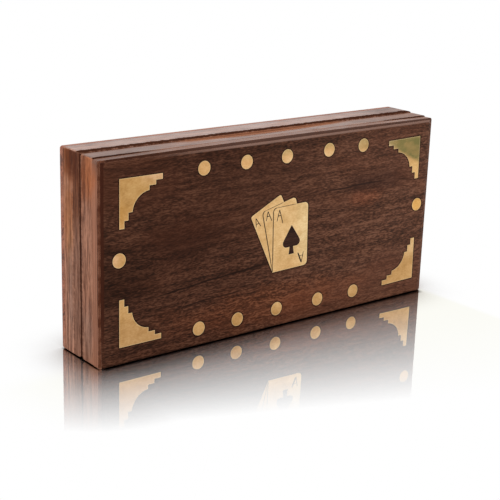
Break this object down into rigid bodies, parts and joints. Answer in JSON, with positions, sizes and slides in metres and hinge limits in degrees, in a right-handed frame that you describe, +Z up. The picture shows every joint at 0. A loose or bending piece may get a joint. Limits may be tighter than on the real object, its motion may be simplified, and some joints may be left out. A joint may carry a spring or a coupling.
{
  "type": "wooden playing card box",
  "caption": "Hinged hardwood box for decks of playing cards, with felt-lined bays, a finger bevel and a lid inlaid with brass corners, studs and a fan of aces.",
  "frame": {"origin": "middle of the underside as the box stands on its hinge edge", "axes": "+X along the length, -Y out of the inlaid lid, +Y out of the back panel, +Z up to the opening edge"},
  "size_m": [0.204, 0.034, 0.096],
  "materials": {
    "panel_wood": "dark brown hardwood with fine streaks along the length, satin lacquer",
    "frame_wood": "reddish brown hardwood with grain along each rail, satin lacquer",
    "spade_wood": "dark brown hardwood, satin lacquer",
    "inlay_brass": "sanded flush, lightly brushed",
    "hinge_brass": "drawn brass, satin",
    "felt": "short matted felt, dull"
  },
  "bodies": {
    "base": {"base_hinge_rail": "frame_wood", "base_hinge_screws": "hinge_brass", "base_left_end": "frame_wood", "base_panel": "panel_wood", "base_right_end": "frame_wood", "base_top_rail": "frame_wood", "bay_felt_left": "felt", "bay_felt_right": "felt", "divider": "frame_wood", "hinge_left_base_leaf": "hinge_brass", "hinge_left_pin": "hinge_brass", "hinge_right_base_leaf": "hinge_brass", "hinge_right_pin": "hinge_brass"},
    "lid": {"card_fan_inlay": "inlay_brass", "corner_inlay_bottom_left": "inlay_brass", "corner_inlay_bottom_right": "inlay_brass", "corner_inlay_top_left": "inlay_brass", "corner_inlay_top_right": "inlay_brass", "hinge_left_lid_leaf": "hinge_brass", "hinge_right_lid_leaf": "hinge_brass", "lid_felt": "felt", "lid_hinge_rail": "frame_wood", "lid_hinge_screws": "hinge_brass", "lid_left_end": "frame_wood", "lid_panel": "panel_wood", "lid_right_end": "frame_wood", "lid_top_rail": "frame_wood", "spade_infill": "spade_wood", "stud_bottom_1": "inlay_brass", "stud_bottom_2": "inlay_brass", "stud_bottom_3": "inlay_brass", "stud_bottom_4": "inlay_brass", "stud_bottom_5": "inlay_brass", "stud_left": "inlay_brass", "stud_right": "inlay_brass", "stud_top_1": "inlay_brass", "stud_top_2": "inlay_brass", "stud_top_3": "inlay_brass", "stud_top_4": "inlay_brass", "stud_top_5": "inlay_brass"}
  },
  "joints": [
    {"name": "lid_hinge", "type": "hinge", "parent": "base", "child": "lid", "pos_m": [0, -0.0015, 0.0022], "axis": [1, 0, 0], "range_deg": [0, 95]}
  ]
}
